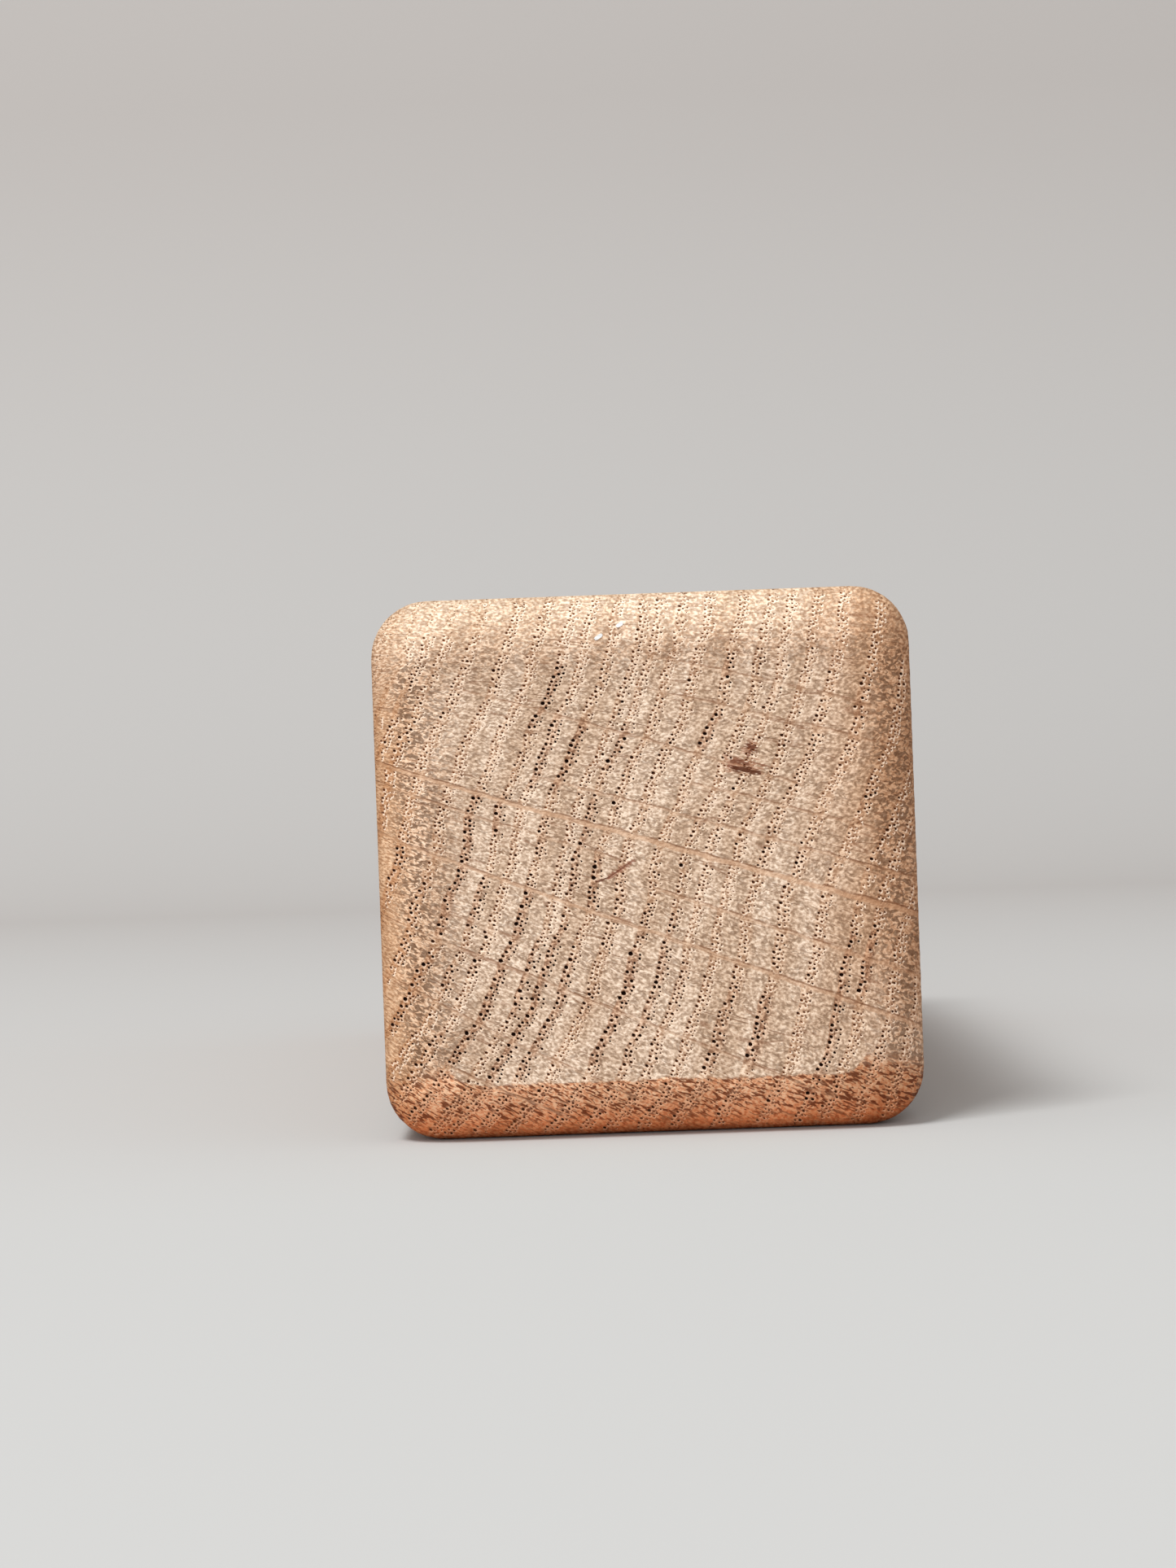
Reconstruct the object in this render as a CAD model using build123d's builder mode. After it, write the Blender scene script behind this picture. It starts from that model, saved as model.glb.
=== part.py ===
"""Short square batten of oak, one piece of solid timber.

The bar is planed square and cut to length, and then one round-over cutter is
run along its four long edges and round both ends, so that the cuts meet in a
balled corner at each end of each edge. It lies on one long side, with its
length along Y, the shown end at -Y and the middle of its underside at the
origin. Lengths are in millimetres.
"""
import os

from build123d import *

section_width = 60.0  # across the bar, along X
section_height = 60.0  # from the underside to the top, along Z
batten_length = 150.0  # along the grain, along Y
roundover_radius = 6.4  # one cutter for every edge

os.makedirs("parts", exist_ok=True)

with BuildPart() as batten:
    # the planed bar, sawn square at both ends
    with BuildSketch(Plane.XZ) as section:
        Rectangle(section_width, section_height, align=(Align.CENTER, Align.MIN))
    extrude(amount=batten_length / 2, both=True)

    # the cutter goes along the long edges and round the end faces, and its
    # cuts run into one another at the corners
    long_edges = batten.edges().filter_by(Axis.Y)
    shown_end_edges = batten.faces().sort_by(Axis.Y)[0].edges()
    far_end_edges = batten.faces().sort_by(Axis.Y)[-1].edges()
    fillet(long_edges + shown_end_edges + far_end_edges, radius=roundover_radius)

batten.part.label = "batten"
export_step(batten.part, "parts/batten.step")
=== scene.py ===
import math
import bpy
import numpy as np
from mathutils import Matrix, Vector
from mathutils.geometry import delaunay_2d_cdt


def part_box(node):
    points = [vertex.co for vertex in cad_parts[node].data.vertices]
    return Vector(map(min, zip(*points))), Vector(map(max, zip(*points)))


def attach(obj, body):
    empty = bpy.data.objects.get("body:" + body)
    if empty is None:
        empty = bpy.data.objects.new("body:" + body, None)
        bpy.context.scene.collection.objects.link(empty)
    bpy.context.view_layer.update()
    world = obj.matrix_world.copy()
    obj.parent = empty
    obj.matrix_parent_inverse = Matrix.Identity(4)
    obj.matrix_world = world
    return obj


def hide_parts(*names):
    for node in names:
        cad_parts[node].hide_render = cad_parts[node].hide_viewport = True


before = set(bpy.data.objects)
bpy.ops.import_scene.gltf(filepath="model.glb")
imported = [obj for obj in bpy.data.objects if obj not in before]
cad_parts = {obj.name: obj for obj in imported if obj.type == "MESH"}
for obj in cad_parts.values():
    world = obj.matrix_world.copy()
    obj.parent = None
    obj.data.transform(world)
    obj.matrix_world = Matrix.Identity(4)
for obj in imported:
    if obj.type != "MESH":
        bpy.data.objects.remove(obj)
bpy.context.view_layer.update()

# The batten: one short bar of ring-porous oak, planed square, sawn across the
# grain at both ends and run round every edge with one round-over cutter.
# It is bare and sanded, so its rings, rays and cut-open pores all show.
mm = 0.001
tiny = 1e-9
low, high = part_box("batten")
middle = (low + high) / 2
half_width = (high.x - low.x) / 2 / mm
half_height = (high.z - low.z) / 2 / mm
half_length = (high.y - low.y) / 2 / mm
roundover = 6.4
flat_width = half_width - roundover
flat_height = half_height - roundover
flat_corner = 4.0
core_width = flat_width - flat_corner
core_height = flat_height - flat_corner

# Where the grain lies. Places on the shown end are in millimetres from its
# middle, to the right and up, and are read from the photograph in pixels.
pixels_per_mm = 11.24
end_middle_px = (797.1, 1061.7)
end_turn = math.radians(2.05)


def on_end(across_px, down_px):
    """Place on the shown end, right and up from its middle, of a pixel of the photograph."""
    across = (across_px - end_middle_px[0]) / pixels_per_mm
    down = (down_px - end_middle_px[1]) / pixels_per_mm
    right = across * math.cos(end_turn) - down * math.sin(end_turn)
    up = -across * math.sin(end_turn) - down * math.cos(end_turn)
    return right, up


# The heart of the tree lay to the left of the bar and above it, so the rings
# cross the end as long arcs. Each width is one year's growth in millimetres.
heart_px = (-800, 635)
heart = on_end(*heart_px)
first_ring = 111.4
ring_widths = (
    1.95, 1.95, 1.95, 3.0, 3.75, 3.2, 3.0, 2.15, 2.75, 2.85, 1.6, 2.3, 2.75,
    3.4, 3.0, 2.25, 2.75, 2.85, 3.8, 4.1, 3.75, 2.15, 3.4, 2.9, 2.9, 2.9,
)
ring_starts = first_ring + np.concatenate(([0.0], np.cumsum(ring_widths)))
middle_reach = 147.7
middle_slant = math.radians(16.5) + end_turn

# The rings stray from true circles. They stand out in a shoulder at the top and
# in one long swell, and tremble in three short waves: height, turn for each
# millimetre along and outward, and start. They are drawn in on the side of the
# heart, more so below, and above they are drawn up.
shoulder_height = 3.8
shoulder_from = -24.0
shoulder_over = 22.2
swell_height = 1.15
swell_length = 55.0
short_waves = ((0.16, 0.57, 0.35, 0.0), (0.10, 1.19, 0.9, 1.3), (0.05, 2.7, 1.7, 0.0))
inner_limit = 166.0
inner_over = 29.0
inner_pull = 0.25
lower_pull = 0.95
lower_from = -1.0
lower_over = 12.0
upper_pull = 0.5
upper_from = -8.0
upper_over = 10.0
upper_limit = 157.0
upper_limit_over = 20.0
upper_least = -0.5
settling_rounds = 4


def eased(share):
    """Smooth start and stop for a share, which is held between 0 and 1."""
    share = np.clip(share, 0, 1)
    return share * share * (3 - 2 * share)


def ring_wave(reach, along):
    """How far the rings stray outward from true circles, in millimetres."""
    stray = shoulder_height * (1 - eased((along - shoulder_from) / shoulder_over))
    stray = stray + swell_height * np.sin(along * 2 * np.pi / swell_length)
    for height, along_turn, reach_turn, start in short_waves:
        stray = stray + height * np.sin(along * along_turn + reach * reach_turn + start)
    near_heart = np.clip((inner_limit - reach) / inner_over, 0, 1)
    drawn_in = near_heart * (inner_pull + lower_pull * eased((along - lower_from) / lower_over))
    upper_share = np.clip((upper_limit - reach) / upper_limit_over, upper_least, 1)
    drawn_up = upper_pull * eased((upper_from - along) / upper_over) * upper_share
    return stray - drawn_in - drawn_up


def place_in_tree(right, up):
    """Reach from the heart and way down along the ring, in millimetres, of places on the section."""
    out = np.asarray(right, float) - heart[0]
    drop = heart[1] - np.asarray(up, float)
    along = (np.arctan2(drop, out) - middle_slant) * middle_reach
    radius = np.hypot(out, drop)
    reach = radius
    for _ in range(settling_rounds):
        reach = radius - ring_wave(reach, along)
    return reach, along


def place_on_section(reach, along):
    """The way back: place on the section of a reach and a way along the ring."""
    radius = reach + ring_wave(reach, along)
    slant = middle_slant + along / middle_reach
    return heart[0] + radius * np.cos(slant), heart[1] - radius * np.sin(slant)


# The broad rays run out from the heart. Each is a line from one reach and way
# along to another, in pixels, with a width in millimetres and a strength.
broad_rays = (
    (1566, -303, 1870, -271, 0.24, 0.5),
    (1590, -258, 1875, -234, 0.22, 0.5),
    (1353, -222, 1790, -175, 0.24, 0.6),
    (1674, -153, 1910, -143, 0.24, 0.6),
    (1507, -120, 1974, -101, 0.26, 0.65),
    (1243, -90, 1474, -76, 0.44, 1.0),
    (1474, -76, 2046, -65, 0.50, 1.0),
    (1298, -58, 1432, -46, 0.28, 0.7),
    (1432, -46, 1624, -40, 0.26, 0.6),
    (1674, -17, 2024, -5, 0.32, 0.75),
    (1309, 15, 1374, 24, 0.36, 0.9),
    (1374, 24, 1640, 34, 0.38, 0.9),
    (1640, 34, 2024, 43, 0.38, 0.85),
    (1350, 97, 1530, 99, 0.22, 0.4),
    (1361, 137, 1950, 141, 0.26, 0.6),
    (1390, 215, 1574, 226, 0.28, 0.6),
    (1574, 226, 1727, 226, 0.26, 0.6),
    (1518, 293, 1672, 284, 0.30, 0.7),
)
no_ray_near = 99.0


def ray_line(ray):
    """Reach where a ray starts and ends, its way along at the start, and its slope, in millimetres."""
    from_reach, from_along, to_reach, to_along = (value / pixels_per_mm for value in ray[:4])
    return from_reach, to_reach, from_along, (to_along - from_along) / (to_reach - from_reach)


def ray_clearance(reach, along):
    """Distance along the ring to the edge of the nearest broad ray, in millimetres."""
    nearest = np.full(np.shape(along), no_ray_near)
    for ray in broad_rays:
        start, end, at_start, slope = ray_line(ray)
        aside = np.abs(along - at_start - slope * (reach - start)) - ray[4] / 2
        nearest = np.where((reach >= start) & (reach <= end), np.minimum(nearest, aside), nearest)
    return nearest


# Stretches of pore row that gape open and dark: ring, from where to where along
# it, and how wide open. Elsewhere the openness of a row comes and goes in two
# waves: turn for each millimetre along, and for each ring.
dark_stretches = (
    (2, -22, -17, 0.60), (4, 2, 8, 0.75), (5, 5, 18, 0.65), (6, -7, 12, 0.90), (6, 14, 26, 0.80),
    (7, -25, -16, 0.85), (7, -8, -2, 0.85), (7, 2, 10, 0.75), (7, 14, 18, 0.75),
    (8, -19, -9, 0.75), (8, 12, 15, 0.65), (8, 22, 28, 0.70),
    (9, -19, -9, 0.85), (9, -7, -1, 0.65), (9, 2, 26, 0.85), (10, 8, 18, 0.80),
    (11, -19, -13, 0.75), (11, -10, 2, 0.75), (11, 5, 26, 0.95), (12, -4, 3, 0.80), (12, 8, 24, 0.75),
    (13, -4, 8, 0.55), (13, 11, 15, 0.70), (14, -28, -25, 0.75), (14, -22, -17, 0.80), (14, 0, 5, 0.65),
    (14, 5, 19, 0.95), (15, 0, 18, 0.70), (16, 5, 12, 0.60),
    (18, -24, -6, 0.52), (18, 5, 15, 0.70), (19, -28, -22, 0.58), (19, -12, 4, 0.50), (19, 5, 13, 0.80),
    (20, -18, -14, 0.60), (21, -3, 14, 0.85), (22, -4, 3, 0.80),
)
stretch_run_out = 0.5
least_open = 0.08
open_rise = 0.42
ebb_waves = ((0.45, 2.4), (0.19, 1.1))


def openness(ring, along):
    """How wide and dark the pores of a ring stand open at a place, from 0 to 1."""
    ebb = 1.0
    for along_turn, ring_turn in ebb_waves:
        ebb = ebb * np.sin(along * along_turn + ring * ring_turn)
    open_here = least_open + open_rise * (0.5 + 0.5 * ebb)
    for dark_ring, start, end, wide_open in dark_stretches:
        inside = np.clip(np.minimum(along - start, end - along) + stretch_run_out, 0, 1)
        open_here = np.where(ring == dark_ring, np.maximum(open_here, wide_open * inside), open_here)
    return open_here


# Pores of the early wood, cut across at an end: one row of wide vessels at the
# start of each ring, and narrower ones behind it. They end where the round-over
# turns along the grain, and none is cut by the crease where it starts. They are
# rubbed smaller along the upper edge, and away at its left corner.
pore_rows = (
    {"behind": 0.14, "pitch": 0.52, "kept": 0.98, "radius": 0.220, "sides": 7},
    {"behind": 0.62, "pitch": 0.49, "kept": 0.94, "radius": 0.188, "sides": 6},
    {"behind": 1.02, "pitch": 0.46, "kept": 0.78, "radius": 0.145, "sides": 5},
)
far_rows = (
    {"behind": 0.16, "pitch": 0.60, "kept": 0.97, "radius": 0.180, "sides": 5},
)
ring_run = 52.0
pitch_range = (0.74, 1.26)
radius_range = (0.66, 1.10)
shut_size = 0.82
open_growth = 0.54
row_stray = 0.06
open_stray = 0.17
thinnest_wall = 0.03
pore_limit = 0.90
rubbed_from = 21.5
rubbed_over = 3.5
rubbed_shut = 0.5
rubbed_even = 0.4
rubbed_corner = 17.0
corner_limit = 0.35
pore_cell = 0.5
shown_pore_seed = 31
far_pore_seed = 32


class NearPlaces:
    """Places sorted into square cells, so that those close to a spot are found at once."""

    def __init__(self, cell):
        self.cell = cell
        self.cells = {}

    def home(self, spot):
        return math.floor(spot[0] / self.cell), math.floor(spot[1] / self.cell)

    def add(self, spot):
        self.cells.setdefault(self.home(spot), []).append(spot)

    def near(self, spot):
        across, up = self.home(spot)
        return [other for i in (-1, 0, 1) for j in (-1, 0, 1)
                for other in self.cells.get((across + i, up + j), ())]


def crease_distance(right, up):
    """Distance outward from the crease that runs round the flat part."""
    out = np.abs(right) - core_width
    rise = np.abs(up) - core_height
    outside = np.hypot(np.maximum(out, 0), np.maximum(rise, 0))
    return outside + np.minimum(np.maximum(out, rise), 0) - flat_corner


def cut_pores(seed, rows):
    """Place, radius, openness and number of sides of each pore that shows on one end."""
    chance = np.random.default_rng(seed)
    pores = []
    taken = NearPlaces(pore_cell)
    for ring, start in enumerate(ring_starts[:-1]):
        for row in rows:
            count = int(2 * ring_run / row["pitch"])
            along = -ring_run + np.cumsum(row["pitch"] * chance.uniform(*pitch_range, count))
            reach = start + row["behind"] + chance.normal(0, row_stray, count)
            right, up = place_on_section(reach, along)
            rubbed = np.clip((up - rubbed_from) / rubbed_over, 0, 1)
            wide = openness(ring, along) * (1 - rubbed_shut * rubbed)
            wide = np.clip(wide + chance.normal(0, open_stray, count) * (1 - rubbed_even * rubbed), 0, 1)
            radius = row["radius"] * chance.uniform(*radius_range, count)
            radius = radius * (shut_size + open_growth * wide)
            beyond = np.abs(right) - flat_width
            above = np.abs(up) - flat_height
            past = np.hypot(np.maximum(beyond, 0), np.maximum(above, 0))
            kept = chance.random(count) < row["kept"]
            limit = np.where((right < -rubbed_corner) & (up > rubbed_corner), corner_limit, pore_limit)
            kept &= past < limit * roundover - radius
            kept &= np.abs(crease_distance(right, up)) > radius + thinnest_wall
            kept &= ray_clearance(reach, along) > radius
            for pore in zip(right[kept], up[kept], radius[kept], wide[kept]):
                if all(math.dist(pore[:2], other[:2]) >= pore[2] + other[2] + thinnest_wall
                       for other in taken.near(pore)):
                    taken.add(pore)
                    pores.append(pore + (row["sides"],))
    return pores


# The form of an end: flat in the middle, and rolled back over the round-over,
# which starts with a slight crease that is deepest below and to the right, and
# rounds the corners of the flat. It is meshed on a layout in which the
# round-over is rolled out flat.
crease = 0.16
crease_change = 0.14
lower_right = (0.5, -0.87)
rolled_rim = roundover * math.pi / 2


def past_flat(right, up):
    """How far a place lies beyond the flat part, across and up."""
    beyond = max(abs(right) - flat_width, 0.0)
    above = max(abs(up) - flat_height, 0.0)
    return math.copysign(beyond, right), math.copysign(above, up)


def rolled_out(right, up):
    """Place on the flat layout of a place on the end."""
    beyond, above = past_flat(right, up)
    past = math.hypot(beyond, above)
    if past < tiny:
        return right, up
    stretch = roundover * math.asin(min(past / roundover, 1.0)) / past
    return right - beyond + beyond * stretch, up - above + above * stretch


def rolled_back(right, up):
    """Place on the end of a place on the flat layout."""
    beyond, above = past_flat(right, up)
    past = math.hypot(beyond, above)
    if past < tiny:
        return right, up
    shrink = roundover * math.sin(min(past / roundover, math.pi / 2)) / past
    return right - beyond + beyond * shrink, up - above + above * shrink


def past_crease(right, up):
    """How far a place is on its way from the crease to the outline, and which way it faces.

    The whole way counts as one round-over, wherever it is taken.
    """
    out = max(abs(right) - core_width, 0.0)
    rise = max(abs(up) - core_height, 0.0)
    away = math.hypot(out, rise)
    if away <= flat_corner:
        return 0.0, (0.0, 0.0)
    ahead = (out / away, rise / away)
    rim = flat_corner + roundover
    if ahead[1] * rim <= ahead[0] * flat_corner:
        full = rim / ahead[0]
    elif ahead[0] * rim <= ahead[1] * flat_corner:
        full = rim / ahead[1]
    else:
        shift = flat_corner * (ahead[0] + ahead[1])
        full = shift + math.sqrt(shift ** 2 - 2 * flat_corner ** 2 + roundover ** 2)
    share = min((away - flat_corner) / (full - flat_corner), 1.0)
    beyond, above = (abs(part) for part in past_flat(right, up))
    outward = max(math.hypot(beyond, above), tiny)
    facing = Vector(ahead).lerp(Vector((beyond / outward, above / outward)), share).normalized()
    return share * roundover, (math.copysign(facing[0], right), math.copysign(facing[1], up))


def end_surface(right, up):
    """Depth behind the end plane, and the normal across, outward and up."""
    past, facing = past_crease(right, up)
    if past < tiny:
        return 0.0, (0.0, 1.0, 0.0)
    first_lean = crease + crease_change * (lower_right[0] * facing[0] + lower_right[1] * facing[1])
    arc_radius = roundover / (1 - math.sin(first_lean))
    flatten = roundover / (arc_radius * math.cos(first_lean))
    lean = math.asin(min(math.sin(first_lean) + past / arc_radius, 1.0))
    drop = flatten * arc_radius * (math.cos(first_lean) - math.cos(lean))
    sideways = flatten * math.sin(lean)
    size = math.hypot(sideways, math.cos(lean))
    return drop, (facing[0] * sideways / size, math.cos(lean) / size, facing[1] * sideways / size)


# Outline of the section and line of the crease, with points about a millimetre apart.
side_steps = 40
outline_corner_steps = 9
crease_corner_steps = 7


def rounded_square(core_wide, core_tall, radius, corner_steps):
    """Points round a square with rounded corners."""
    line = []
    for quarter in range(4):
        turn = quarter * math.pi / 2
        corner = (core_wide * (1 if quarter in (0, 3) else -1),
                  core_tall * (1 if quarter in (0, 1) else -1))
        for step in range(corner_steps):
            angle = turn + step / corner_steps * math.pi / 2
            line.append((corner[0] + radius * math.cos(angle), corner[1] + radius * math.sin(angle)))
        side_run = 2 * (core_wide if quarter % 2 == 0 else core_tall)
        for step in range(side_steps):
            gone = side_run * step / side_steps
            line.append((corner[0] - radius * math.sin(turn) - gone * math.cos(turn),
                         corner[1] + radius * math.cos(turn) - gone * math.sin(turn)))
    return line


outline = rounded_square(flat_width, flat_height, roundover, outline_corner_steps)
outline_count = len(outline)
crease_line = rounded_square(core_width, core_height, flat_corner, crease_corner_steps)

# The mesh is gathered in these lists. Each point holds its painted light at the rim of a pore:
# painted highlight above zero, painted shade below. Each corner of a face has a normal, a place
# on the layout and a depth: 0 on the wood, up to 1 down in a pore, where it sets the painted shade, and
# -1 on a chip.
points = []
painted_rim_lights = []
faces = []
corner_normals = []
corner_layout = []
corner_depths = []
chip_depth = -1.0


def add_point(right, back, up):
    """Adds a point, with no painted rim light on it, and gives back its number."""
    points.append((right, back, up))
    painted_rim_lights.append(0.0)
    return len(points) - 1


def add_face(corners, layout, normals=None, depths=None):
    """Adds a face, shaded flat where no normals are given."""
    if normals is None:
        a, b, c = (Vector(points[i]) for i in corners[:3])
        normals = [tuple((b - a).cross(c - a).normalized())] * len(corners)
    faces.append(corners)
    corner_normals.extend(normals)
    corner_layout.extend(layout)
    corner_depths.extend(depths or [0.0] * len(corners))


# Where the two ends lie on the layout map of the finish, which is one unit
# square: left, bottom and size of each end's own square.
layout_margin = 0.3
layout_reach = flat_width + rolled_rim + layout_margin
shown_square = (0.005, 0.385, 0.61)
far_square = (0.005, 0.005, 0.365)
shown_mesh_seed = 7
far_mesh_seed = 8


class End:
    """One end of the bar while it is meshed: which way it faces, and its place on the layout."""

    def __init__(self, front, square, seed):
        self.front = front
        self.facing = -1 if front else 1
        self.square = square
        self.chance = np.random.default_rng(seed)

    def lay(self, spot):
        """Place on the layout map of the finish of a place on the flat layout."""
        left, bottom, size = self.square
        across = (spot[0] * -self.facing / layout_reach + 1) / 2
        return left + across * size, bottom + (spot[1] / layout_reach + 1) / 2 * size

    def sink(self, right, up, drop):
        """A new point that lies deeper than the surface, with its place on the layout."""
        back = self.facing * (half_length - end_surface(right, up)[0] - drop)
        return add_point(right, back, up), self.lay(rolled_out(right, up))

    def face(self, corners, depths=None):
        """A face from (point, layout place) corners that turn left as seen from the front."""
        order = corners if self.front else corners[::-1]
        if depths and not self.front:
            depths = depths[::-1]
        add_face([corner[0] for corner in order], [corner[1] for corner in order], depths=depths)


# Each pore is a pit that narrows to its floor, with painted shade that darkens down
# into it and is lighter on its lower right wall, where the light falls. A wide open one
# is deeper, in radii, with darker painted shade; a shut one is drawn out along the
# rays. Pairs hold a shut pore's value, and what is added as it opens.
rim_range = (0.77, 1.0)
least_drawn = 0.10
shut_drawn = 0.16
sunk = (0.35, 1.45)
painted_floor_shade = (0.45, 0.55)
painted_wall_shade = (0.5, 0.4)
painted_wall_light = (0.45, -0.3)
painted_rim_light_level = 0.2
painted_rim_light_lean = 0.8


def pore_rim(end, pore):
    """Rim of a pore, a little uneven."""
    right, up, radius, wide, sides = pore
    spin = end.chance.uniform(0, math.tau)
    ray_way = math.atan2(up - heart[1], right - heart[0])
    drawn = least_drawn + shut_drawn * (1 - wide)
    rim = []
    for k in range(sides):
        angle = spin + k * math.tau / sides
        uneven = radius * end.chance.uniform(*rim_range)
        reach = uneven * (1 + drawn * math.cos(2 * (angle - ray_way))) / (1 + drawn)
        rim.append((right + reach * math.cos(angle), up + reach * math.sin(angle)))
    return rim


def sink_pore(end, rim, pore):
    """The vessel that goes down from its rim, with painted shade on its walls that is lighter on the
    lower right, and painted light round its rim: a highlight on the lower right, shade on the upper left.
    """
    right, up, radius, wide, sides = pore
    pairs = (sunk, painted_floor_shade, painted_wall_shade, painted_wall_light)
    depth, floor, wall, light = (shut + more * wide for shut, more in pairs)
    bottom = end.sink(right, up, radius * depth)
    painted_wall_shades = []
    for number, _ in rim:
        x, _, z = points[number]
        painted_lit_side = (lower_right[0] * (x - right) + lower_right[1] * (z - up)) / radius
        painted_rim_lights[number] = painted_rim_light_level + painted_rim_light_lean * painted_lit_side
        painted_wall_shades.append(wall - light * painted_lit_side)
    for k in range(sides):
        other = (k + 1) % sides
        end.face([rim[k], rim[other], bottom], [painted_wall_shades[k], painted_wall_shades[other], floor])


# Marks on the shown end: a shallow scratch that opens to the upper right, one
# stray wide pore, and two white chips that stick to the wood near its top.
scratch_px = ((734, 1083), (741, 1081), (749, 1078), (760, 1071), (771, 1063), (778, 1058))
scratch_half_widths = (0.0, 0.04, 0.07, 0.13, 0.16, 0.0)
scratch_lean = 0.5
scratch_depth = 0.07
stray_pore_px = (901, 969)
stray_pore_radius = 0.23
stray_pore_sides = 7
stray_pore_room = 0.1
chips_px = (((730.5, 786), (740, 779.5)), ((757, 770), (765.5, 765)))
chip_half_width = 0.22
chip_end_width = 0.6
chip_end_run = 0.25
chip_top_share = 0.9
chip_rise = 0.11
mark_room = 1.2
mark_lines = [(scratch_px, max(scratch_half_widths))]
mark_lines += [(chip, 2 * chip_half_width) for chip in chips_px]


def scratch_rim():
    """Rim of the scratch, along its lower side and back along its upper side."""
    lower = []
    upper = []
    for px, half in zip(scratch_px, scratch_half_widths):
        right, up = on_end(*px)
        lower.append((right + scratch_lean * half, up - half))
        upper.append((right - scratch_lean * half, up + half))
    return lower + upper[-2:0:-1]


def sink_scratch(end, rim):
    """The scratch is a groove with its floor under the middle line."""
    stations = len(scratch_px)
    floor = [end.sink(*on_end(*px), scratch_depth) for px in scratch_px[1:-1]]
    lower = rim[:stations]
    upper = [rim[0]] + rim[:stations - 1:-1] + [rim[stations - 1]]
    under = [None] + floor + [None]
    for k in range(stations - 1):
        low_side = [lower[k], lower[k + 1], under[k + 1], under[k]]
        high_side = [upper[k + 1], upper[k], under[k], under[k + 1]]
        for side in (low_side, high_side):
            end.face([corner for corner in side if corner is not None])


def chip_rim(chip):
    """Outline of a chip: a short bar with blunt ends."""
    (right, up), (to_right, to_up) = (on_end(*px) for px in chip)
    run = math.hypot(to_right - right, to_up - up)
    ahead = ((to_right - right) / run, (to_up - up) / run)
    aside = (-ahead[1] * chip_half_width, ahead[0] * chip_half_width)
    stations = (0.0, chip_end_run, run - chip_end_run, run)
    widths = (chip_end_width, 1.0, 1.0, chip_end_width)
    line = [(gone, -wide) for gone, wide in zip(stations, widths)]
    line += [(gone, wide) for gone, wide in zip(stations[::-1], widths)]
    return [(right + ahead[0] * gone + aside[0] * wide, up + ahead[1] * gone + aside[1] * wide)
            for gone, wide in line]


def raise_chip(end, rim, rim_places):
    """The chip stands a little proud of the wood, with a flat top."""
    count = len(rim)
    centre_right = sum(right for right, up in rim_places) / count
    centre_up = sum(up for right, up in rim_places) / count
    top = [end.sink(centre_right + (right - centre_right) * chip_top_share,
                    centre_up + (up - centre_up) * chip_top_share, -chip_rise)
           for right, up in rim_places]
    for k, corner in enumerate(rim):
        other = (k + 1) % count
        end.face([corner, rim[other], top[other], top[k]], [chip_depth] * 4)
    end.face(top, [chip_depth] * count)


def clear_of_marks(pore):
    """Whether a pore lies clear of the scratch and the chips."""
    right, up, radius = pore[:3]
    for line, mark_half in mark_lines:
        for from_px, to_px in zip(line, line[1:]):
            x, z = on_end(*from_px)
            to_x, to_z = on_end(*to_px)
            run = (to_x - x, to_z - z)
            share = ((right - x) * run[0] + (up - z) * run[1]) / (run[0] ** 2 + run[1] ** 2)
            share = min(max(share, 0.0), 1.0)
            away = math.hypot(right - x - share * run[0], up - z - share * run[1])
            if away < mark_room * mark_half + radius:
                return False
    return True


# Points of the mesh between the pores: a few close round each pore, where its
# painted rim light ends, and the rest spread evenly in rows over the end.
painted_rim_light_width = 0.16
painted_rim_light_angles = (-1.6, -0.7, 0.2, 1.1, 2.0, 2.9, 3.8)
painted_rim_light_gap = 0.5 * painted_rim_light_width
painted_rim_light_room = 0.6 * painted_rim_light_width
spread = 1.4
spread_rows = spread * math.sqrt(3) / 2
spread_room = 0.35
jitter = (0.4, 0.6)
rim_gap = 0.5
spot_cell = 0.4
place_cell = 1.0
same_spot = 1e-7
normal_inset = 0.03


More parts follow.
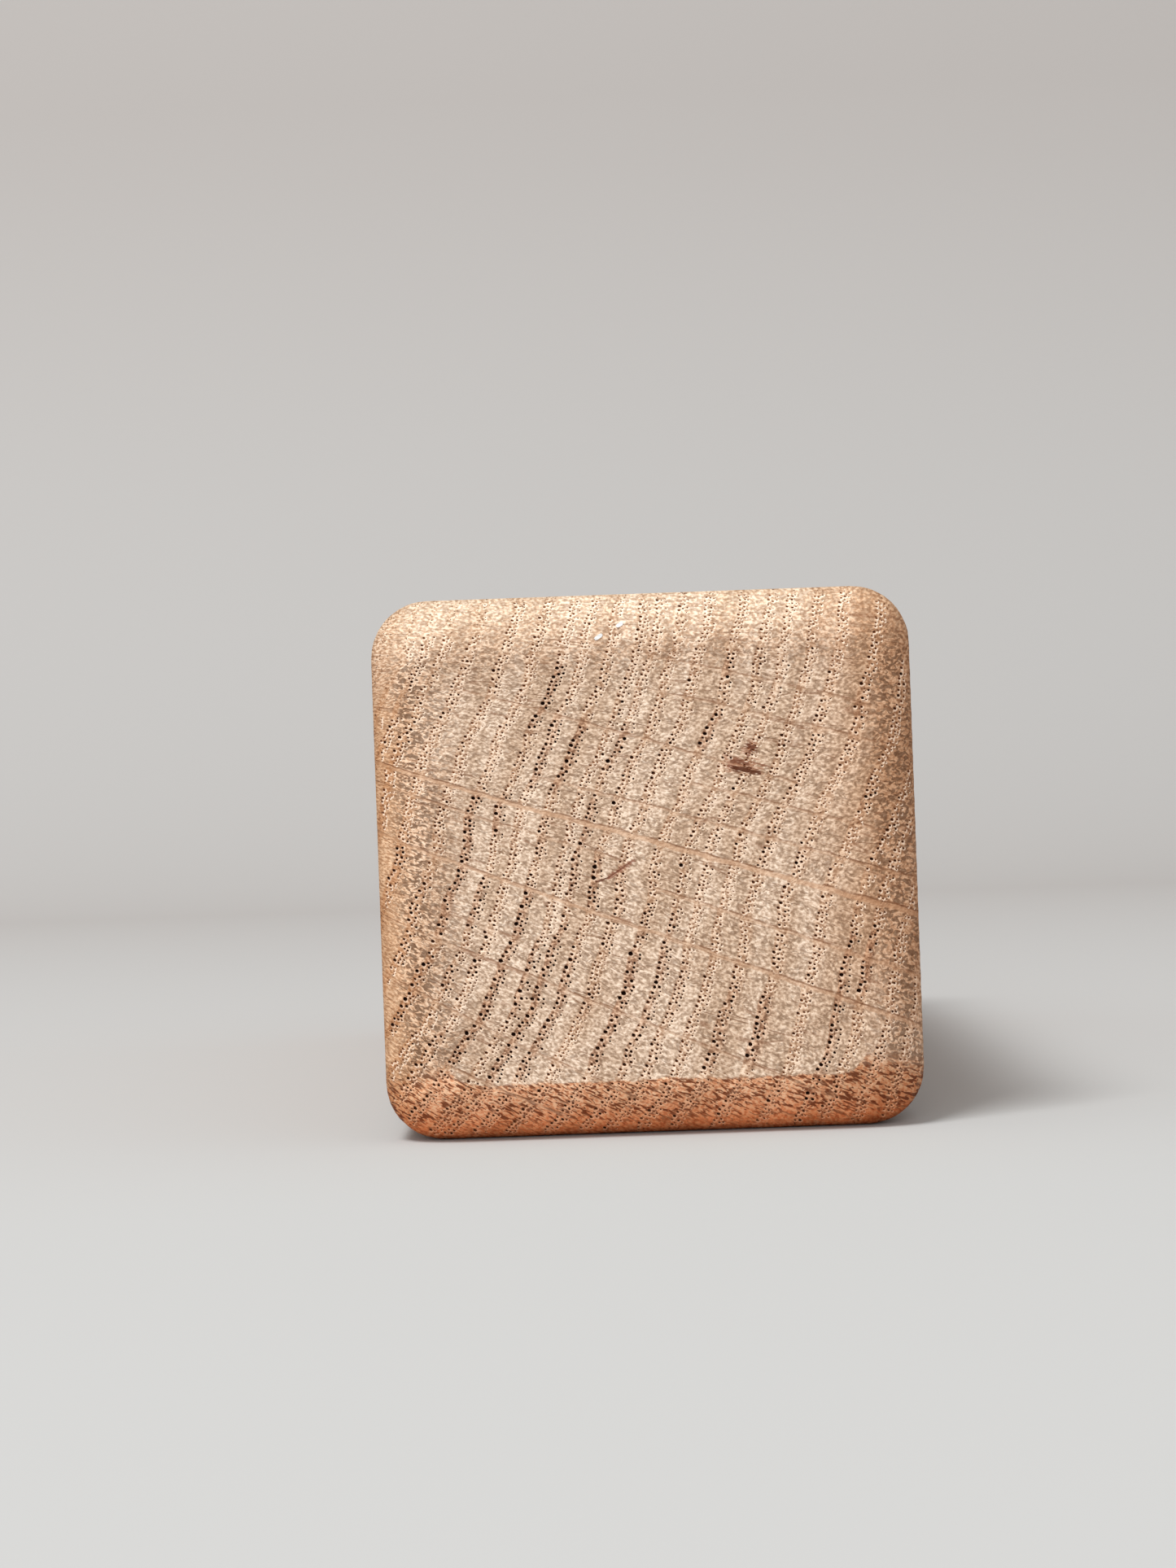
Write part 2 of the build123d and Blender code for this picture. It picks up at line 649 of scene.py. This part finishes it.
def mesh_end(end, pores):
    """Meshes one end with its pores and marks, and gives back the points of its outer edge."""
    marks = []
    if end.front:
        marks = [scratch_rim()] + [chip_rim(chip) for chip in chips_px]
        pores = [pore for pore in pores if clear_of_marks(pore)]
    rims = [pore_rim(end, pore) for pore in pores] + marks

    spots = [rolled_out(*place) for place in outline] + crease_line
    edges = [(i, (i + 1) % outline_count) for i in range(outline_count)]
    for k in range(len(crease_line)):
        edges.append((outline_count + k, outline_count + (k + 1) % len(crease_line)))
    loops = []
    for rim in rims:
        loops.append(list(range(len(spots), len(spots) + len(rim))))
        spots += [rolled_out(*place) for place in rim]
    spots_taken = NearPlaces(spot_cell)
    for spot in spots:
        spots_taken.add(spot)

    def take(spot, room):
        """Keeps a spot for the mesh if nothing else lies within its room."""
        if all(math.dist(spot, other) > room for other in spots_taken.near(spot)):
            spots_taken.add(spot)
            spots.append(spot)

    # the points close round the pores
    pore_places = NearPlaces(place_cell)
    for pore in pores:
        pore_places.add(pore)
    for right, up, radius in (pore[:3] for pore in pores):
        for angle in painted_rim_light_angles:
            spot = (right + (radius + painted_rim_light_width) * math.cos(angle),
                    up + (radius + painted_rim_light_width) * math.sin(angle))
            if all(math.dist(spot, other[:2]) > other[2] + painted_rim_light_gap for other in pore_places.near(spot)):
                take(rolled_out(*spot), painted_rim_light_room)

    # the points spread over the rest of the end
    layout_half = (flat_width + rolled_rim, flat_height + rolled_rim)
    for row in range(int(2 * layout_half[1] / spread_rows)):
        for column in range(int(2 * layout_half[0] / spread)):
            shift = 0.5 * (row % 2) + end.chance.uniform(*jitter)
            spot = (-layout_half[0] + (column + shift) * spread,
                    -layout_half[1] + (row + end.chance.uniform(*jitter)) * spread_rows)
            if math.hypot(*past_flat(*spot)) < rolled_rim - rim_gap:
                take(spot, spread_room)

    made = delaunay_2d_cdt([Vector(spot) for spot in spots], edges, loops, 0, same_spot)
    made_spots, triangles, spot_sources, triangle_sources = made[0], made[2], made[3], made[5]
    corners = []
    corner_of = {}
    for spot, sources in zip(made_spots, spot_sources):
        right, up = rolled_back(*spot)
        back = end.facing * (half_length - end_surface(right, up)[0])
        corners.append((add_point(right, back, up), end.lay(spot)))
        corner_of.update((source, corners[-1]) for source in sources)

    # the normals are read a little inside each triangle, so they break at the crease
    for triangle, holes in zip(triangles, triangle_sources):
        if holes:
            continue
        centre = sum((made_spots[i] for i in triangle), Vector((0, 0))) / 3
        order = triangle if end.front else triangle[::-1]
        normals = []
        for i in order:
            normal = end_surface(*rolled_back(*made_spots[i].lerp(centre, normal_inset)))[1]
            normals.append((normal[0], end.facing * normal[1], normal[2]))
        add_face([corners[i][0] for i in order], [corners[i][1] for i in order], normals)

    for number, loop in enumerate(loops):
        rim = [corner_of[source] for source in loop]
        if number < len(pores):
            sink_pore(end, rim, pores[number])
        elif number == len(pores):
            sink_scratch(end, rim)
        else:
            raise_chip(end, rim, rims[number])
    return [corner_of[i][0] for i in range(outline_count)]


stray_pore = on_end(*stray_pore_px) + (stray_pore_radius, 1.0, stray_pore_sides)
shown_pores = [pore for pore in cut_pores(shown_pore_seed, pore_rows)
               if math.dist(pore[:2], stray_pore[:2]) > 2 * stray_pore_radius + stray_pore_room]
shown_end = End(True, shown_square, shown_mesh_seed)
shown_edge = mesh_end(shown_end, shown_pores + [stray_pore])
far_end = End(False, far_square, far_mesh_seed)
far_edge = mesh_end(far_end, cut_pores(far_pore_seed, far_rows))

# The long faces: straight runs of the outline from end to end. Each half of the
# outline has its own strip of the layout: left, bottom, width and height.
length_steps = 12
straight_half = half_length - roundover
strip_of = {True: (0.625, 0.385, 0.37, 0.61), False: (0.385, 0.005, 0.61, 0.365)}
rings_of_points = [shown_edge]
for step in range(1, length_steps):
    back = -straight_half + 2 * straight_half * step / length_steps
    rings_of_points.append([add_point(right, back, up) for right, up in outline])
rings_of_points.append(far_edge)
half_count = outline_count // 2


def strip_place(first_half, index, step):
    """Place on the layout: one half of the outline beside the shown end, the other below it."""
    left, bottom, wide, tall = strip_of[first_half]
    round_share = index / half_count if first_half else index / half_count - 1
    gone = step / length_steps
    if first_half:
        return left + wide * round_share, bottom + tall * gone
    return left + wide * gone, bottom + tall * round_share


def side_normal(index):
    """Normal of the long faces at a point of the outline."""
    beyond, above = past_flat(*outline[index])
    return beyond / roundover, 0.0, above / roundover


for step in range(length_steps):
    for i in range(outline_count):
        j = (i + 1) % outline_count
        corners = [rings_of_points[step][i], rings_of_points[step + 1][i],
                   rings_of_points[step + 1][j], rings_of_points[step][j]]
        places = [strip_place(i < half_count, index, at)
                  for index, at in ((i, step), (i, step + 1), (i + 1, step + 1), (i + 1, step))]
        add_face(corners, places, [side_normal(i), side_normal(i), side_normal(j), side_normal(j)])

batten_mesh = bpy.data.meshes.new("oak_batten")
batten_mesh.from_pydata([(x * mm, y * mm, (z + half_height) * mm) for x, y, z in points], [], faces)
batten_mesh.polygons.foreach_set("use_smooth", [True] * len(batten_mesh.polygons))
layout_map = batten_mesh.uv_layers.new(name="OFBake")
layout_map.data.foreach_set("uv", np.array(corner_layout, np.float32).ravel())
batten_mesh.normals_split_custom_set(corner_normals)

# What the finish needs to know at each point: the ring count, the place in the
# tree, how open the pores are and the painted light at their rims. The last of a ring's
# wood counts with the pores of the next ring.
ring_lead = 0.2
mesh_points = np.array(points)
reach_values, along_values = place_in_tree(mesh_points[:, 0], mesh_points[:, 2])
ring_count = np.interp(reach_values, ring_starts, np.arange(len(ring_starts)))
point_values = {
    "ring": ring_count,
    "reach": reach_values,
    "along": along_values,
    "open": openness(np.round(ring_count - ring_lead), along_values),
    "painted_rim_light": painted_rim_lights,
}
for name, values in point_values.items():
    attribute = batten_mesh.attributes.new(name, "FLOAT", "POINT")
    attribute.data.foreach_set("value", np.array(values, np.float32))
depth_attribute = batten_mesh.attributes.new("depth", "FLOAT", "CORNER")
depth_attribute.data.foreach_set("value", np.array(corner_depths, np.float32))

batten = bpy.data.objects.new("oak_batten", batten_mesh)
bpy.context.collection.objects.link(batten)


# The finish: bare sanded oak. It is worked out in the round, from the place in
# the tree, so that rings, rays and vessels run on over the edges.
def paint(red, green, blue):
    """A colour written as a picture shows it, 0 to 255, for a shader."""
    def linear(value):
        value /= 255
        return value / 12.92 if value <= 0.04045 else ((value + 0.055) / 1.055) ** 2.4
    return linear(red), linear(green), linear(blue), 1.0


oak = bpy.data.materials.new("bare_oak")
oak.use_nodes = True
oak_nodes = oak.node_tree.nodes
oak_links = oak.node_tree.links
oak_nodes.clear()


def put(socket, value):
    """Links or sets one input."""
    if isinstance(value, bpy.types.NodeSocket):
        oak_links.new(value, socket)
    else:
        socket.default_value = value


def work(operation, *values):
    """One step of arithmetic on the surface's values."""
    node = oak_nodes.new("ShaderNodeMath")
    node.operation = operation
    for socket, value in zip(node.inputs, values):
        put(socket, value)
    return node.outputs[0]


def length(first, second):
    """Length of a way with two parts at right angles."""
    return work("SQRT", work("ADD", work("MULTIPLY", first, first), work("MULTIPLY", second, second)))


def known(name):
    """A value stored at the mesh's points."""
    node = oak_nodes.new("ShaderNodeAttribute")
    node.attribute_name = name
    return node.outputs["Fac"]


def fade(value, start, end, first=0.0, last=1.0):
    """Smooth change from the first value to the last as a value goes from start to end."""
    node = oak_nodes.new("ShaderNodeMapRange")
    node.interpolation_type = "SMOOTHSTEP"
    put(node.inputs["Value"], value)
    put(node.inputs["From Min"], start)
    put(node.inputs["From Max"], end)
    put(node.inputs["To Min"], first)
    put(node.inputs["To Max"], last)
    return node.outputs["Result"]


# numbers of the sockets that carry colours into a mix and out of it
first_colour, second_colour, mixed_colour = 6, 7, 2


def mixed(amount, first, second, way="MIX"):
    """Two colours mixed by an amount."""
    node = oak_nodes.new("ShaderNodeMix")
    node.data_type = "RGBA"
    node.blend_type = way
    put(node.inputs["Factor"], amount)
    put(node.inputs[first_colour], first)
    put(node.inputs[second_colour], second)
    return node.outputs[mixed_colour]


def shades(value, *stops):
    """A run of colours along a value."""
    node = oak_nodes.new("ShaderNodeValToRGB")
    put(node.inputs[0], value)
    ramp = node.color_ramp.elements
    while len(ramp) < len(stops):
        ramp.new(0.5)
    for element, (place, colour) in zip(ramp, stops):
        element.position = place
        element.color = colour
    return node.outputs["Color"]


def grown(reach_rate, along_rate, length_rate):
    """A place that follows the tree, with rates outward, along the ring and up the trunk."""
    place = oak_nodes.new("ShaderNodeCombineXYZ")
    put(place.inputs[0], work("MULTIPLY", reach, reach_rate))
    put(place.inputs[1], work("MULTIPLY", along, along_rate))
    put(place.inputs[2], work("MULTIPLY", trunk, length_rate))
    return place.outputs[0]


def tissue(reach_rate, along_rate, length_rate, detail=2.0, twist=0.0):
    """Cloudy value that follows the tree."""
    node = oak_nodes.new("ShaderNodeTexNoise")
    put(node.inputs["Vector"], grown(reach_rate, along_rate, length_rate))
    put(node.inputs["Scale"], 1.0)
    put(node.inputs["Detail"], detail)
    put(node.inputs["Distortion"], twist)
    return node.outputs["Fac"]


def cells(reach_rate, along_rate, length_rate):
    """Distance from the middle of cells that follow the tree."""
    node = oak_nodes.new("ShaderNodeTexVoronoi")
    put(node.inputs["Vector"], grown(reach_rate, along_rate, length_rate))
    put(node.inputs["Scale"], 1.0)
    return node.outputs["Distance"]


# places on the bar in millimetres, and masks for its parts: the shown end, the
# end grain of both ends, the slant beyond the crease and the lower edge, where a warm reflection is
# painted
object_place = oak_nodes.new("ShaderNodeSeparateXYZ")
oak_links.new(oak_nodes.new("ShaderNodeTexCoord").outputs["Object"], object_place.inputs[0])
across = work("DIVIDE", object_place.outputs[0], mm)
trunk = work("DIVIDE", object_place.outputs[1], mm)
up = work("SUBTRACT", work("DIVIDE", object_place.outputs[2], mm), half_height)
reach = known("reach")
along = known("along")
year = work("FRACT", known("ring"))
open_pores = known("open")
out = work("MAXIMUM", work("SUBTRACT", work("ABSOLUTE", across), core_width), 0.0)
rise = work("MAXIMUM", work("SUBTRACT", work("ABSOLUTE", up), core_height), 0.0)
edge_wander = work("MULTIPLY", work("SUBTRACT", tissue(0.5, 0.5, 0.5), 0.5), 1.2)
past_edge = work("ADD", work("SUBTRACT", length(out, rise), flat_corner), edge_wander)
slanted = fade(past_edge, -0.12, 0.16)
shown = fade(trunk, -half_length + roundover, -half_length + roundover + 2.0, 1.0, 0.0)
end_grain = fade(work("ABSOLUTE", trunk), half_length - roundover, half_length - 0.4 * roundover)
below = work("MULTIPLY_ADD", up, -1.0, -core_height)
painted_reflection_band = work("MULTIPLY", slanted, shown)
painted_reflection_band = work("MULTIPLY", painted_reflection_band, fade(work("MULTIPLY_ADD", out, -0.25, below), 0.0, 3.0))

# late wood: faint curly threads on the sanded flat, dark flecks towards the
# edges, and flames of fibre along the rays below, weaker towards the rim
grains = tissue(2.6, 3.2, 0.07, detail=1.5)
patches = tissue(0.6, 0.9, 0.03, detail=1.0)
curls = tissue(0.75, 1.5, 0.03, detail=1.5, twist=0.5)
curls = fade(work("SINE", work("MULTIPLY", curls, 26.0)), -0.9, 0.4, 1.0, 0.0)
curls = work("MULTIPLY", curls, fade(patches, 0.40, 0.60, 0.2, 1.0))
curls = work("MULTIPLY", curls, fade(end_grain, 0.0, 1.0, 0.5, 1.0))
flecks = fade(tissue(1.4, 2.3, 0.03, detail=1.0, twist=1.0), 0.44, 0.55)
flecks = work("MULTIPLY", flecks, fade(across, -29.0, -26.0, 0.25, 1.0))
flecks = work("MULTIPLY", flecks, fade(end_grain, 0.0, 1.0, 0.4, 1.0))
flames = fade(tissue(1.0, 3.8, 0.03, detail=1.2, twist=0.7), 0.47, 0.59)
flames = work("MULTIPLY", flames, fade(below, flat_corner + 3.4, flat_corner + 5.6, 1.0, 0.3))
dusty_wood = shades(grains, (0.35, paint(177, 156, 134)), (0.46, paint(211, 192, 170)),
                    (0.54, paint(224, 205, 183)), (0.64, paint(250, 237, 218)))
dusty_wood = mixed(work("MULTIPLY", curls, 0.62), dusty_wood, paint(140, 117, 96))
edge_wood = shades(grains, (0.36, paint(202, 171, 143)), (0.48, paint(228, 200, 172)),
                   (0.60, paint(253, 233, 209)))
lower_corner = work("MULTIPLY", slanted, fade(below, 1.0, 3.0))
edge_marks = work("MAXIMUM", flecks, work("MULTIPLY", flames, lower_corner))
edge_marks = work("MULTIPLY", edge_marks, fade(up, 21.0, 26.0, 0.9, 0.42))
edge_wood = mixed(edge_marks, edge_wood, paint(120, 95, 75))
# the lower edge of the shown end: flames of fibre on a warm painted reflection, redder further down
under_grain_and_reflection = shades(grains, (0.36, paint(224, 166, 127)), (0.48, paint(248, 198, 158)),
                    (0.60, paint(255, 223, 188)))
under_grain_and_reflection = mixed(work("MULTIPLY", flames, 0.95), under_grain_and_reflection, paint(124, 71, 43))
painted_warm_reflection = fade(below, flat_corner + 1.5, flat_corner + 6.2)
under_grain_and_reflection = mixed(painted_warm_reflection, under_grain_and_reflection, paint(255, 216, 186), "MULTIPLY")
edge_share = work("MAXIMUM", fade(across, -26.0, -18.0, 0.95, 0.0), fade(across, 23.0, 26.5, 0.0, 0.8))
edge_share = work("MAXIMUM", edge_share, fade(up, 19.0, 25.5, 0.0, 0.9))
late_wood = mixed(edge_share, dusty_wood, edge_wood)
late_wood = mixed(painted_reflection_band, late_wood, under_grain_and_reflection)

# early wood: paler round the pores, browner where they gape, and warmer at the
# left, but not in its upper corner
early = work("MAXIMUM", fade(year, 0.18, 0.42, 1.0, 0.0), fade(year, 0.95, 1.0))
cream = shades(grains, (0.34, paint(168, 134, 106)), (0.5, paint(210, 181, 153)),
               (0.62, paint(250, 231, 207)))
brown = shades(grains, (0.34, paint(108, 70, 46)), (0.5, paint(166, 123, 93)),
               (0.64, paint(236, 202, 170)))
early_wood = mixed(fade(open_pores, 0.45, 0.85, 0.0, 0.9), cream, brown)
below_top = fade(up, 14.0, 24.0, 1.0, 0.15)
left_warmth = work("MULTIPLY", fade(across, -29.5, -20.0, 0.5, 0.0), below_top)
early_wood = mixed(left_warmth, early_wood, paint(214, 166, 122))
# the warm painted reflection covers the early wood on the lower edge too
early_wood = mixed(work("MULTIPLY", painted_reflection_band, 0.8), early_wood, under_grain_and_reflection)
wood = mixed(work("MULTIPLY", early, 0.8), late_wood, early_wood)

# small pores among the large ones, which run on as open grooves on the long faces
dots = fade(cells(2.7, 2.5, 0.02), 0.16, 0.30, 1.0, 0.0)
dots = work("MULTIPLY", dots, fade(year, 0.30, 0.44, 1.0, 0.0))
wood = mixed(work("MULTIPLY", dots, 0.75), wood, paint(106, 70, 47))

# rays: pale bands with a dark line on one side, and fine dark lines between them
ray_run_out = 1.5
ray_body = 0.0
ray_edge = 0.0
ray_sway = work("MULTIPLY", work("SUBTRACT", tissue(0.45, 0.2, 0.05), 0.5), 0.5)
for ray in broad_rays:
    start, end, at_start, slope = ray_line(ray)
    width, strength = ray[4:]
    line = work("MULTIPLY_ADD", reach, slope, at_start - slope * start)
    aside = work("ADD", work("SUBTRACT", along, line), ray_sway)
    span = work("MULTIPLY", fade(reach, start - ray_run_out, start),
                fade(reach, end, end + ray_run_out, 1.0, 0.0))
    body = fade(work("ABSOLUTE", aside), width * 0.35, width * 0.65, 1.0, 0.0)
    edge_line = fade(work("ABSOLUTE", work("ADD", aside, width * 0.62)), 0.03, 0.15, 1.0, 0.0)
    edge_line = work("MULTIPLY", edge_line, 0.5 + 0.5 * strength)
    ray_body = work("MAXIMUM", ray_body, work("MULTIPLY", work("MULTIPLY", body, span), strength ** 2))
    ray_edge = work("MAXIMUM", ray_edge, work("MULTIPLY", edge_line, span))
ray_edge = work("MULTIPLY", ray_edge, fade(tissue(0.5, 0.4, 0.05), 0.38, 0.56, 0.25, 1.0))
fine_lines = work("ABSOLUTE", work("SUBTRACT", tissue(0.10, 1.1, 0.05, detail=0.0), 0.5))
fine_lines = fade(fine_lines, 0.0, 0.035, 1.0, 0.0)
fine_lines = work("MULTIPLY", fine_lines, fade(tissue(0.25, 0.5, 0.06), 0.46, 0.58))
fine_lines = work("MULTIPLY", fine_lines, end_grain)
ray_colour = mixed(fade(grains, 0.35, 0.65), paint(205, 174, 146), paint(222, 193, 164))
wood = mixed(work("MULTIPLY", ray_body, 0.85), wood, ray_colour)
wood = mixed(work("MULTIPLY", ray_edge, 0.85), wood, paint(142, 104, 77))
wood = mixed(work("MULTIPLY", fine_lines, 0.55), wood, paint(150, 112, 86))

# tone: some years greyer than others, warmer at the left, painted shade at the right
# and in the lower right corner, and a little darker on the long faces
drift = tissue(0.35, 0.06, 0.01, detail=1.0)
wood = mixed(fade(drift, 0.38, 0.62, 0.0, 0.8), wood, paint(234, 226, 218), "MULTIPLY")
left_tone = work("MULTIPLY", fade(across, -29.5, -23.0, 0.8, 0.0), below_top)
wood = mixed(left_tone, wood, paint(237, 218, 195), "MULTIPLY")
right_painted_shade = work("MULTIPLY", fade(across, 14.0, 28.0, 0.0, 0.9), fade(up, -23.0, -8.0, 0.25, 1.0))
wood = mixed(right_painted_shade, wood, paint(230, 209, 190), "MULTIPLY")
corner_painted_shade = work("MULTIPLY", painted_reflection_band, fade(across, 18.0, 26.0, 0.0, 0.9))
wood = mixed(corner_painted_shade, wood, paint(222, 212, 203), "MULTIPLY")
wood = mixed(fade(end_grain, 0.0, 1.0, 1.0, 0.0), wood, paint(232, 228, 222), "MULTIPLY")

# round each pore a painted highlight on its lower right side and painted shade on its upper left
painted_rim_light = known("painted_rim_light")
painted_lit_side = mixed(open_pores, paint(254, 241, 221), paint(248, 226, 200))
# the painted highlight turns warm in the painted reflection on the lower edge
painted_lit_side = mixed(painted_reflection_band, painted_lit_side, paint(255, 212, 176))
painted_lit_side_share = work("MULTIPLY", fade(painted_rim_light, 0.0, 0.5, 0.0, 0.9), fade(open_pores, 0.5, 0.9, 1.0, 0.6))
wood = mixed(painted_lit_side_share, wood, painted_lit_side)
wood = mixed(fade(painted_rim_light, -0.05, -0.5, 0.0, 0.9), wood, paint(120, 80, 54))

# the brown mark on the shown end, which is two streaks along the rays and a
# blot above, and then darker brown along the scratch and a thin line above it
streaks = work("MULTIPLY", work("SUBTRACT", tissue(1.7, 6.5, 0.1), 0.5), 3.6)


def stroke(from_px, to_px, stroke_half):
    """A soft stroke of colour between two pixels of the photograph: 1 on it and 0 beside it."""
    start = on_end(*from_px)
    run = [to - fro for to, fro in zip(on_end(*to_px), start)]
    square = run[0] ** 2 + run[1] ** 2
    right_by = work("SUBTRACT", across, start[0])
    up_by = work("SUBTRACT", up, start[1])
    share = work("MULTIPLY_ADD", right_by, run[0] / square, work("MULTIPLY", up_by, run[1] / square))
    share = work("MINIMUM", work("MAXIMUM", share, 0.0), 1.0)
    right_by = work("MULTIPLY_ADD", share, -run[0], right_by)
    up_by = work("MULTIPLY_ADD", share, -run[1], up_by)
    away = work("MULTIPLY_ADD", streaks, stroke_half, length(right_by, up_by))
    return work("MULTIPLY", fade(away, stroke_half * 0.45, stroke_half * 1.1, 1.0, 0.0), shown)


# from where to where in pixels, half width in millimetres, strength and colour
strokes = (
    ((897, 938), (927, 944), 0.85, 0.65, paint(172, 124, 96)),
    ((917, 924), (925, 915), 0.60, 0.55, paint(170, 122, 96)),
    ((899, 935), (918, 938.5), 0.28, 0.85, paint(108, 62, 40)),
    ((895, 940), (906, 944), 0.18, 0.80, paint(120, 72, 52)),
    ((903, 943.5), (930, 949), 0.38, 0.95, paint(86, 46, 26)),
    ((891, 927.5), (949, 943), 0.09, 0.65, paint(128, 84, 62)),
    ((922, 922), (918, 933), 0.20, 0.75, paint(120, 74, 52)),
    ((921, 918), (926, 921), 0.50, 0.90, paint(100, 56, 36)),
    ((733, 1083), (749, 1078.5), 0.13, 0.85, paint(108, 62, 44)),
    ((749, 1078), (778, 1058), 0.27, 0.80, paint(136, 86, 66)),
    ((718, 1037), (764, 1058), 0.10, 0.70, paint(132, 96, 74)),
)
for from_px, to_px, stroke_half, strength, colour in strokes:
    wood = mixed(work("MULTIPLY", stroke(from_px, to_px, stroke_half), strength), wood, colour)

# pores: painted shade on the walls, darker down into the pit; chips: dull white
depth = known("depth")
wood = mixed(fade(depth, 0.02, 0.30), wood, paint(176, 124, 84))
wood = mixed(fade(depth, 0.30, 0.60), wood, paint(114, 67, 38))
wood = mixed(fade(depth, 0.56, 0.90), wood, paint(44, 20, 9))
wood = mixed(fade(depth, -0.7, -0.3, 1.0, 0.0), wood, paint(226, 232, 234))

oak_shader = oak_nodes.new("ShaderNodeBsdfPrincipled")
oak_output = oak_nodes.new("ShaderNodeOutputMaterial")
oak_links.new(oak_shader.outputs[0], oak_output.inputs["Surface"])
oak_links.new(wood, oak_shader.inputs["Base Color"])
put(oak_shader.inputs["Roughness"], fade(grains, 0.4, 0.6, 0.8, 0.66))
put(oak_shader.inputs["Specular IOR Level"], 0.15)
relief_depth = 0.15 * mm
relief = oak_nodes.new("ShaderNodeBump")
put(relief.inputs["Strength"], 0.7)
put(relief.inputs["Distance"], relief_depth)
height = work("SUBTRACT", grains, work("MULTIPLY", dots, 0.6))
height = work("SUBTRACT", height, work("MULTIPLY", fine_lines, 0.3))
oak_links.new(height, relief.inputs["Height"])
oak_links.new(relief.outputs[0], oak_shader.inputs["Normal"])

batten_mesh.materials.append(oak)
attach(batten, "root")
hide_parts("batten")

# The floor: one sheet of pale grey paper that lies under the batten and sweeps
# up behind it, so that no line shows where it turns up. The light that it
# throws back under the batten is warmer and weaker than the grey that is seen.
sweep_width = 1.6
sweep_front = -3.0
sweep_turn = 0.55
sweep_radius = 0.35
sweep_top = 1.2
sweep_steps = 16
paper_grey = paint(184, 185, 184)
paper_warmth = paint(168, 135, 115)
sweep_line = [(sweep_front, 0.0)]
for step in range(sweep_steps + 1):
    angle = step / sweep_steps * math.pi / 2
    sweep_line.append((sweep_turn + sweep_radius * math.sin(angle), sweep_radius * (1 - math.cos(angle))))
sweep_line.append((sweep_turn + sweep_radius, sweep_top))
sweep_points = [(side * sweep_width, back, rise) for back, rise in sweep_line for side in (-1, 1)]
sweep_faces = [(2 * i, 2 * i + 1, 2 * i + 3, 2 * i + 2) for i in range(len(sweep_line) - 1)]
sweep_mesh = bpy.data.meshes.new("paper_sweep")
sweep_mesh.from_pydata(sweep_points, [], sweep_faces)
sweep_mesh.polygons.foreach_set("use_smooth", [True] * len(sweep_faces))
sweep = bpy.data.objects.new("paper_sweep", sweep_mesh)
bpy.context.collection.objects.link(sweep)

paper = bpy.data.materials.new("grey_paper")
paper.use_nodes = True
paper_nodes = paper.node_tree.nodes
paper_links = paper.node_tree.links
paper_nodes.clear()
sight = paper_nodes.new("ShaderNodeLightPath")
seen = sight.outputs["Is Camera Ray"]
for way_of_seeing in ("Is Glossy Ray", "Is Transmission Ray"):
    either = paper_nodes.new("ShaderNodeMath")
    either.operation = "MAXIMUM"
    paper_links.new(seen, either.inputs[0])
    paper_links.new(sight.outputs[way_of_seeing], either.inputs[1])
    seen = either.outputs[0]
paper_seen = paper_nodes.new("ShaderNodeBsdfDiffuse")
paper_seen.inputs["Color"].default_value = paper_grey
paper_bounce = paper_nodes.new("ShaderNodeBsdfDiffuse")
paper_bounce.inputs["Color"].default_value = paper_warmth
paper_mix = paper_nodes.new("ShaderNodeMixShader")
paper_links.new(seen, paper_mix.inputs[0])
paper_links.new(paper_bounce.outputs[0], paper_mix.inputs[1])
paper_links.new(paper_seen.outputs[0], paper_mix.inputs[2])
paper_output = paper_nodes.new("ShaderNodeOutputMaterial")
paper_links.new(paper_mix.outputs[0], paper_output.inputs["Surface"])
sweep_mesh.materials.append(paper)


# The light: one soft lamp high above and a little to the left, a weaker one
# from the front, and a pale room all round.
def soft_lamp(name, place, size, power):
    """A square lamp that faces the middle of the batten."""
    lamp = bpy.data.lights.new(name, "AREA")
    lamp.size = size
    lamp.energy = power
    holder = bpy.data.objects.new(name, lamp)
    holder.location = place
    holder.rotation_euler = (middle - Vector(place)).to_track_quat("-Z", "Y").to_euler()
    bpy.context.collection.objects.link(holder)


soft_lamp("lamp_above", place=(-0.60, -0.80, 1.80), size=0.6, power=32.5)
soft_lamp("lamp_front", place=(-0.30, -2.40, 0.80), size=1.0, power=14.0)
room_strength = 0.65
room = bpy.data.worlds.new("pale_room")
bpy.context.scene.world = room
room.use_nodes = True
room_light = room.node_tree.nodes["Background"]
room_light.inputs["Color"].default_value = (1.0, 1.0, 1.0, 1.0)
room_light.inputs["Strength"].default_value = room_strength
bpy.context.scene.view_settings.view_transform = "Standard"

# The camera: level with the shown end and looking straight along the grain,
# turned a little about its own line of sight, as in the photograph.
image_size_px = (1445, 1927)
focal_px = 3500.0
view_distance = focal_px / pixels_per_mm * mm
aim_right, aim_up = on_end(image_size_px[0] / 2, image_size_px[1] / 2)
camera_data = bpy.data.cameras.new("camera")
camera_data.sensor_width = 36.0
camera_data.lens = focal_px / image_size_px[1] * camera_data.sensor_width
camera = bpy.data.objects.new("camera", camera_data)
camera.location = (aim_right * mm, low.y - view_distance, middle.z + aim_up * mm)
camera.rotation_euler = (math.pi / 2, end_turn, 0.0)
bpy.context.collection.objects.link(camera)
bpy.context.scene.camera = camera
